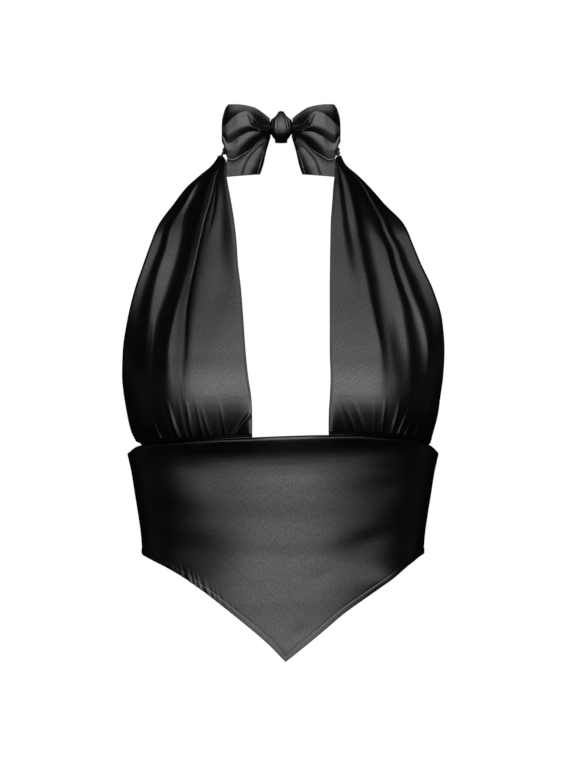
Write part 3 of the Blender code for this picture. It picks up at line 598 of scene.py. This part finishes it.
def panel_surface(side, folds, gathers):
    """One panel's face, as a grid of heights by fold lines. Across the front, the cloth's depth is the
    running sum of the tangent of the degrees that it faces aside. At the side it turns square-on with a
    round bend, and a last strip runs back along the side of the chest."""
    *edges, front, back = read(PANEL, PANEL_ROWS)
    inner, outer = edges[:2] if side == LEFT else edges[2:]
    places, asides = (
        np.stack([ease(FOLD_HEIGHTS, fold[k], PANEL_ROWS) for fold in folds], axis=1) for k in (1, 2)
    )
    roll = np.minimum(EDGE_ROLL, (outer - inner) * EDGE_ROLL_SHARE)
    share = (places - places[:, :1]) / (places[:, -1:] - places[:, :1])
    places = inner[:, None] + smoothed(PANEL_ROWS, share, PLACE_EVENNESS) * (outer - roll - inner)[:, None]
    spans = places.shape[1] - 1
    width = np.diff(places, axis=1).mean(axis=0) + LINE_SPREAD
    reached = running(width) / width.sum()
    line = np.interp(np.linspace(0, 1, spans * LINES_PER_FOLD + 1), reached, np.arange(spans + 1))
    whole = np.minimum(line.astype(int), spans - 1)
    x = places[:, whole] + (places[:, whole + 1] - places[:, whole]) * (line - whole)
    aside = np.radians([ease(place, turn, row) for place, turn, row in zip(places, asides, x)])
    fall = (np.tan(aside[:, 1:]) + np.tan(aside[:, :-1])) / 2 * np.diff(x, axis=1)
    y = front[:, None] + smoothed(PANEL_ROWS, running(fall), DEPTH_EVENNESS)
    y += PLUNGE_TURN_BACK * hump(x - inner[:, None], PLUNGE_TURN_WIDE)

    start = smoothed(PANEL_ROWS, aside[:, -1:], DEPTH_EVENNESS)
    bend = start + np.linspace(0, 1, TURN_LINES + 1)[1:] * (np.pi / 2 - start)
    radius = roll[:, None] / (1 - np.sin(start))
    turn_x = x[:, -1:] + radius * (np.sin(bend) - np.sin(start))
    turn_y = y[:, -1:] + radius * (np.cos(start) - np.cos(bend))
    t = np.linspace(0, 1, SIDE_LINES + 1)[1:]
    reach = np.maximum(back - turn_y[:, -1], SHORTEST_SIDE)[:, None]
    side_x, side_y = turn_x[:, -1:] - WRAP_IN * t**2, turn_y[:, -1:] + reach * t
    x, y = np.concatenate([x, turn_x, side_x], axis=1), np.concatenate([y, turn_y, side_y], axis=1)
    facing = np.concatenate([aside, bend, 0 * side_x + np.pi / 2], axis=1)

    # The gathers: bells across the cloth, which hang forward where it draws in to its seam.
    foot = np.argmin(np.abs(PANEL_ROWS - GATHER_LEVEL))
    place = running(np.hypot(np.diff(x[foot]), np.diff(y[foot])))
    drawn_in = np.where(PANEL_ROWS < PANEL_ROWS[np.argmin(front)], front - front.min(), 0)[:, None]
    for from_middle, half_width, share, lean in gathers:
        centre = np.interp(from_middle + lean * (PANEL_ROWS - PANEL_FOOT), x[foot], place)[:, None]
        y -= share * drawn_in * hump(place - centre, half_width) * np.cos(facing)

    # The foot: each line ends just inside the band's top edge, and turns in to it just above that.
    first, last = SEAM_TURNS[side]
    turn = side * (first + place / place[-1] * (last - first))
    seam = front_point(turn, band_top(turn) - SEAM_TUCK)
    seam -= facing_out(seam) * (CLOTH + SEAM_GAP)
    share = np.clip((FOOT_START - PANEL_ROWS) / (FOOT_START - PANEL_FOOT), 0, 1)[:, None]
    z = PANEL_ROWS[:, None] + share * (seam[:, 2] - PANEL_FOOT)
    tuck = smooth_step((band_top(turn) + TUCK_CLEAR + TUCK_HEIGHT - z) / TUCK_HEIGHT)
    x = side * x
    return np.stack([x + tuck * (seam[:, 0] - x), y + tuck * (seam[:, 1] - y), z], axis=-1)


PANELS = {"left": (LEFT, LEFT_FOLDS, LEFT_GATHERS), "right": (RIGHT, RIGHT_FOLDS, RIGHT_GATHERS)}
for hand, (side, folds, gathers) in PANELS.items():
    face = panel_surface(side, folds, gathers)
    panel = cloth_wall(hand + "_bust_panel", "bust_panel_" + hand, face, CLOTH, side)

# == The neck ties
# The folded satin straps into which the panels' tops are drawn. They stand on edge beside the neck, go
# back and in behind the bow, and meet inside its knot.
HANDS = {"left": LEFT, "right": RIGHT}

# Along a tie: how far out from the bow's middle, how far back and how high its upper edge is, and then
# its lower edge.
TIE = (
    (54.7, -8, -32.3, 59.4, 9, -32.3), (54.6, 8, -28.2, 56.5, 13, -31.8),
    (55, 30, -24.8, 55.8, 31, -29.5), (55.7, 50, -22.5, 56.1, 51, -27.4),
    (56.2, 63, -21, 56.5, 64, -26), (55.6, 75, -19, 55.9, 76, -25), (51.5, 88, -15.5, 51.8, 88.5, -23),
    (42, 96, -7, 42.5, 96.5, -16), (28, 98, 0, 28, 98.5, -10), (17, 95, 4.5, 17, 95, -6),
    (8.7, 89.7, 5.5, 8.7, 89.7, -4.5),
)
TIE_REACH = {LEFT: 1.0, RIGHT: 0.952}  # the right panel's top stands a little nearer the middle
TIE_REACH_END = 40.0  # how far back that difference has gone
BOW_MIDDLE = -1.9
TIE_ROWS, TIE_LINES = 130, 22
TIE_CREASE = 0.45  # how deep its lengthwise creases are
TIE_CREASES, TIE_CREASE_DRIFT = 1.6, 0.5  # how many lie across it, and by how many they move along it


def along(table, rows):
    """Every column of a table of places along a strip, each read smoothly at this many even steps."""
    steps = np.linspace(0, len(table) - 1, rows)
    return [ease(np.arange(len(table)), values, steps)[:, None] for values in zip(*table)]


place = np.linspace(0, 1, TIE_ROWS)[:, None]
across = np.linspace(0, 1, TIE_LINES)
waves = TIE_CREASES * across + TIE_CREASE_DRIFT * place
crease = TIE_CREASE * np.sin(2 * np.pi * waves) * np.sin(np.pi * across)
edges = along(TIE, TIE_ROWS)
upper, lower = np.stack(edges[:3], axis=-1), np.stack(edges[3:], axis=-1)
for hand, side in HANDS.items():
    strap = upper + across[..., None] * (lower - upper)
    nearness = smooth_step(1 - strap[..., 1] / TIE_REACH_END)
    strap[..., 0] *= 1 + (TIE_REACH[side] - 1) * nearness
    strap[..., 0] = BOW_MIDDLE + side * (strap[..., 0] + crease)
    cloth_wall(hand + "_neck_tie", "neck_tie_" + hand, strap, CLOTH, -side)

# == The bow's loops
# Each loop is a strip of satin that leaves the knot behind, turns at its far end and comes back in front
# of itself. The knot pinches it, so its front puffs out on both sides of one deep pleat.

# Along a loop, from behind the knot to in front of it: how far out and how far back it is, and how high
# its lower and its upper edge are.
LOOP = (
    (10.9, 80, -3, 9.5), (16, 82, -5, 13.8), (27.3, 86, -8, 20.8), (42, 87.5, -11, 23.4),
    (50, 86, -12, 23.2), (53, 83.6, -12.2, 20.5), (55.4, 80, -12.4, 14), (56.8, 75.5, -12.6, 7),
    (57, 68, -12.9, 0.8), (56.7, 65.8, -14.2, 0.2), (55, 64.9, -17.6, 1), (50.8, 64.2, -31.2, 4.5),
    (46, 63.4, -32.5, 9), (39.4, 62.4, -29, 13.5), (33, 62.4, -25, 14.8), (27, 63.5, -20, 11.8),
    (21.5, 65.5, -13.5, 5), (16, 68.5, -8.5, 0.8), (10.9, 71.5, -5.5, 0.8),
)
BOW_CLOTH = 0.9
LOOP_ROWS, LOOP_LINES = 150, 110
LOOP_FRONT = 0.4  # the share of the strip's length after which it is in front
LOOP_EASE = 0.08  # the share over which its front's shape comes in

# Across a loop from its lower edge: shares of its width, and how many degrees the cloth there faces up.
# Its front hangs over one deep pleat, between a narrow lower lobe and a broad upper one.
LOOP_SHARES = (0.0, 0.17, 0.28, 0.36, 0.41, 0.45, 0.55, 0.66, 0.75, 0.85, 1.0)
LOOP_FACING = (-18, -9, -2, 4, 8, -19, -22, -15, -5, -1, 3)
LOOP_RIM, RIM_PLACE, RIM_REACH = 30, 0.034, 0.012  # more degrees that it faces just above its lower edge
LOOP_UNDER, UNDER_REACH = -60, 0.026  # and right at that edge
PINCH_START, PINCH_EASE = 0.62, 0.25  # shares of its length from which, and over which, it is pinched
PINCH_STEEPER = 0.7  # how much steeper that makes its slopes
LOOP_PLEAT = 0.56  # where the pleat is deepest, and to where all draws together near the knot
BACK_SHARES = (0.0, 0.45, 0.52, 0.74, 0.84, 0.92, 1.0)
BACK_FACING = (0, -4, -22, -24, -12, -8, -7)

# Creases in the front of a loop. Each runs from its first place to its last: a place is a share of the
# strip's length and, across it, a share from its lower edge. Then its depth in mm and its reach.
CREASE_FADE = 0.06  # the share of the length over which a crease comes in
LOOP_CREASES = (
    (0.80, 0.91, 0.83, 0.72, 1.6, 0.045),
    (0.84, 0.81, 0.89, 0.81, 1.8, 0.06),
    (0.895, 0.55, 0.95, 0.55, -1.5, 0.09),
)


def depth_of(facing, extent):
    """How deep cloth lies that faces aside or up by these degrees: the running sum, across a strip this
    wide, of the degrees' tangents."""
    step = np.tan(np.radians((facing[:, 1:] + facing[:, :-1]) / 2)) / (facing.shape[1] - 1)
    return extent * running(step)


def creases(table, place, across):
    """How deep a strip's creases are: each is a bell across its line, and fades in from its first place."""
    total = 0.0 * (place + across)
    for first, first_across, last, last_across, depth, reach in table:
        t = np.clip((place - first) / (last - first), 0, 1)
        line = first_across + t * (last_across - first_across)
        fade = smooth_step((place - first + CREASE_FADE / 2) / CREASE_FADE)
        total += depth * fade * hump(across - line, reach)
    return total


across = np.linspace(0, 1, LOOP_LINES)
place = np.linspace(0, 1, LOOP_ROWS)[:, None]
in_front = smooth_step((place - LOOP_FRONT) / LOOP_EASE)
pinched = smooth_step((place - PINCH_START) / PINCH_EASE)
drawn = LOOP_PLEAT + (across - LOOP_PLEAT) * (1 + pinched)
facing = ease(LOOP_SHARES, LOOP_FACING, drawn) * (1 + PINCH_STEEPER * pinched)
facing += LOOP_RIM * hump(across - RIM_PLACE, RIM_REACH)
facing += LOOP_UNDER * (1 - smooth_step(across / UNDER_REACH))
out, back, low, high = along(LOOP, LOOP_ROWS)
front = depth_of(facing, high - low)
front = front - front.mean(axis=1, keepdims=True) + creases(LOOP_CREASES, place, across)
behind = depth_of(ease(BACK_SHARES, BACK_FACING, across) + 0 * place, high - low)
for hand, side in HANDS.items():
    strip = np.stack([
        BOW_MIDDLE + side * out + 0 * across,
        back + in_front * front + (1 - in_front) * behind,
        low + across * (high - low),
    ], axis=-1)
    loop = cloth_wall(hand + "_loop", "bow_loop_" + hand, strip, BOW_CLOTH, -side)

# == The bow's tails
# The two short satin ends of the ties, cut straight across. They hang from the knot behind the loops,
# each with one soft crease down it and its inner edge folded over.

# Down a tail: how far out and how high its outer edge is, then its inner edge, and how far back it lies.
TAIL = (
    (10.9, 2, 10.9, -8, 82),
    (20, -3, 12.8, -15, 85),
    (36, -13, 14.5, -21.5, 86.6),
    (52.4, -30.6, 17.4, -34, 86.8),
    (52.7, -45.7, 20.4, -42.9, 87.6),
)
TAIL_ROWS, TAIL_LINES = 80, 90

# Across a tail from its outer edge: shares of its width, and how many degrees it faces inwards there.
TAIL_SHARES = (0.0, 0.30, 0.38, 0.45, 0.52, 0.60, 0.74, 0.90, 1.0)
TAIL_FACING = (0, 0, 9, 21, 5, 8, 20, 30, 30)
TAIL_DRIFT = 0.3  # how much nearer the inner edge its crease is at the knot
TAIL_EASE = (-0.1, 0.5)  # the shares of its length between which that crease comes in
TAIL_FOLD = (0.9, 0.03, 0.6)  # where its folded edge starts, the share over which it rises, and how far

place = np.linspace(0, 1, TAIL_ROWS)[:, None]
across = np.linspace(0, 1, TAIL_LINES)
outer_out, outer_up, inner_out, inner_up, back = along(TAIL, TAIL_ROWS)
facing = ease(TAIL_SHARES, TAIL_FACING, across - TAIL_DRIFT * (1 - place))
facing *= smooth_step((place - TAIL_EASE[0]) / (TAIL_EASE[1] - TAIL_EASE[0]))
fold = TAIL_FOLD[2] * smooth_step((across - TAIL_FOLD[0]) / TAIL_FOLD[1])
for hand, side in HANDS.items():
    strip = np.stack([
        BOW_MIDDLE + side * (outer_out + across * (inner_out - outer_out)),
        back + depth_of(facing, outer_out - inner_out) - fold,
        outer_up + across * (inner_up - outer_up),
    ], axis=-1)
    tail = cloth_wall(hand + "_tail", "bow_tail_" + hand, strip, BOW_CLOTH, -side)

# == The bow's knot
# The tie's satin, wrapped once round the middle of the bow and pulled tight, so that creases fan down
# from its peak and its sides dip in where the loops leave it.

# The knot from its peak to its foot: the height, its half width and its half depth.
KNOT = (
    (16.7, 1, 2.5), (16.1, 2.4, 5), (14.5, 3.5, 7.5), (12.5, 4.8, 9.3), (10, 7.4, 11),
    (7.8, 10, 12.1), (4, 10.9, 12.9), (0, 10.9, 12.8), (-4, 10.3, 12), (-7.5, 8.7, 10.5),
    (-10.3, 6.6, 8.2), (-11.3, 6, 6.8), (-13.6, 5.9, 4.6), (-14, 5.2, 4.2),
)
KNOT_PEAK, KNOT_FOOT = KNOT[0][0], KNOT[-1][0]
KNOT_BACK = 79.0  # how far back its middle is
KNOT_POLE = 0.3  # how far the middle of its peak and of its foot stands out
KNOT_ROWS, KNOT_SIDES = 130, 200
FRONT_SQUARE, BACK_SQUARE = 3.0, 2.3  # how square it is there, where 2 is a plain ellipse
ROUND_KNOT, HALF_ROUND = 0.19, 34.0  # mm of cloth for each degree round it, and half way round

# Wrap creases: the angle round the knot at its top and at its foot, depth in mm, and reach in degrees.
CREASE_END = 1.05  # each has gone where this times the share of the way down is 1
KNOT_CREASES = (
    (-118, -152, 0.7, 8), (-94, -84, 0.5, 4.5), (-106, -100, 0.4, 4), (-84, -48, 0.6, 4.5),
    (-70, -28, 0.8, 8), (60, 30, 0.8, 9), (85, 80, 0.9, 9), (112, 140, 0.8, 9),
)

height, width, depth = along(KNOT, KNOT_ROWS)
angle = np.linspace(0, 2 * np.pi, KNOT_SIDES, endpoint=False)
cosine, sine = np.cos(angle), np.sin(angle)
down = (KNOT_PEAK - height) / (KNOT_PEAK - KNOT_FOOT)
fade = np.sin(np.pi * np.clip(down * CREASE_END, 0, 1)) ** 0.5
dent = 0.0 * (angle + height)
for at_top, at_foot, deep, reach in KNOT_CREASES:
    off = (np.degrees(angle) - (at_top + down * (at_foot - at_top)) + 180) % 360 - 180
    dent += deep * hump(off, reach) * fade
power = 2 / np.where(sine < 0, FRONT_SQUARE, BACK_SQUARE)
x = BOW_MIDDLE + (width - dent) * np.sign(cosine) * np.abs(cosine) ** power
y = KNOT_BACK + (depth - dent) * np.sign(sine) * np.abs(sine) ** power
points = np.stack([x, y, height + 0 * angle], axis=-1).reshape(-1, 3)
uv = np.stack([np.degrees(angle) * ROUND_KNOT + 0 * height, height + 0 * angle], axis=-1).reshape(-1, 2)
number = np.arange(len(points)).reshape(KNOT_ROWS, KNOT_SIDES)
ring = np.concatenate([number, number[:, :1]], axis=1)
last = len(points)
top_cap = np.stack([ring[0, :-1], ring[0, 1:], 0 * ring[0, 1:] + last], axis=-1)
foot_cap = np.stack([ring[-1, 1:], ring[-1, :-1], 0 * ring[-1, 1:] + last + 1], axis=-1)
faces = grid_faces(ring).tolist() + top_cap.tolist() + foot_cap.tolist()
poles = [[BOW_MIDDLE, KNOT_BACK, KNOT_PEAK + KNOT_POLE], [BOW_MIDDLE, KNOT_BACK, KNOT_FOOT - KNOT_POLE]]
uv = np.concatenate([uv, [[HALF_ROUND, KNOT_PEAK], [HALF_ROUND, KNOT_FOOT]]])
knot = cloth_piece("knot", "bow_knot", np.concatenate([points, poles]), faces, uv)

# == Floor, light and camera
# A pale floor, a white surround that only the camera sees, a wide soft light in front with a softbox high
# above it, one softbox behind for the back, and a faint one at each side.
FLOOR_HEIGHT, FLOOR_HALF = -1750.0, 4500.0
floor_mesh = bpy.data.meshes.new("floor")
floor_corners = np.array([(-1, -1, 0), (1, -1, 0), (1, 1, 0), (-1, 1, 0)]) * FLOOR_HALF + [0, 0, FLOOR_HEIGHT]
floor_mesh.from_pydata((floor_corners * MM).tolist(), [], [(0, 1, 2, 3)])
floor = put("floor", floor_mesh)
floor.visible_glossy = floor.visible_diffuse = False  # so that it throws no light up under the cups
# Matt white board: even and without shine, so that only its tone is seen. A little light of its own keeps
# it pale from every side.
board = bpy.data.materials.new("matt white board")
board.use_nodes = True
pale = linear("#ededed")
board_look = {"Base Color": pale, "Roughness": 0.9, "Emission Color": pale, "Emission Strength": 0.45}
for name, value in board_look.items():
    board.node_tree.nodes["Principled BSDF"].inputs[name].default_value = value
floor_mesh.materials.append(board)

SURROUND = 1.0  # what the camera sees round the top
AMBIENT = 0.003  # what lights it from there
world = bpy.data.worlds.new("studio")
bpy.context.scene.world = world
world.use_nodes = True
tree = world.node_tree
background = tree.nodes["Background"]
background.inputs["Color"].default_value = (1, 1, 1, 1)
from_camera = add(tree, "LightPath", {}, {}).outputs["Is Camera Ray"]
strength = add(tree, "MapRange", {"To Min": AMBIENT, "To Max": SURROUND}, {"Value": from_camera})
tree.links.new(strength.outputs["Result"], background.inputs["Strength"])
bpy.context.scene.view_settings.view_transform = "Standard"

# Each soft light: where it hangs, what it aims at, its width and height in mm, and its brightness.
LIGHTS = {
    "overhead softbox": ((0, -1300, 2500), (0, 0, -200), 2600, 2400, 1.3),
    "back softbox": ((0, 2000, -300), (0, 0, -250), 800, 1300, 1.3),
    "left softbox": ((-2000, 500, -350), (0, 0, -350), 1200, 1100, 0.05),
    "right softbox": ((2000, 500, -350), (0, 0, -350), 1200, 1100, 0.05),
}
# The front light has soft edges: sheets of light of growing size, by how far each reaches aside, below
# and above the top's middle, and its brightness.
FRONT_LIGHT = (
    (730, 70, 1160, 0.6), (1010, 280, 1680, 1), (1350, 500, 2390, 1), (1800, 730, 3200, 0.8),
    (2560, 975, 4100, 0.5), (4270, 1200, 5500, 0.25),
)
FRONT_AWAY, MIDDLE_HEIGHT = -2000, -250
SHEET_GAP = 25  # each sheet hangs this far behind the one before it
for number, (aside, below, above, brightness) in enumerate(FRONT_LIGHT, 1):
    level = MIDDLE_HEIGHT + (above - below) / 2
    away = FRONT_AWAY - number * SHEET_GAP
    LIGHTS[f"front light {number}"] = ((0, away, level), (0, 0, level), 2 * aside, below + above, brightness)
for name, (place, aim, wide, tall, brightness) in LIGHTS.items():
    lamp = bpy.data.lights.new(name, "AREA")
    lamp.shape, lamp.size, lamp.size_y = "RECTANGLE", wide * MM, tall * MM
    lamp.energy = brightness * math.pi * lamp.size * lamp.size_y
    holder = put(name, lamp)
    place, aim = np.array(place) * MM, np.array(aim) * MM
    ahead = unit(aim - place)
    pan, tilt = math.atan2(-ahead[0], ahead[1]), math.asin(ahead[2])
    holder.location = place
    holder.rotation_euler = (math.pi / 2 + tilt, 0, pan)
    holder.visible_camera = False

# The camera looks straight at the front from 2.6 m, level with the bust.
CAMERA_PLACE = (4.7, -2600.0, -246.0)
CAMERA_LENS = 130.4
camera = put("camera", bpy.data.cameras.new("camera"))
camera.data.lens = CAMERA_LENS
camera.location = np.array(CAMERA_PLACE) * MM
camera.rotation_euler = (math.pi / 2, 0, 0)
bpy.context.scene.camera = camera
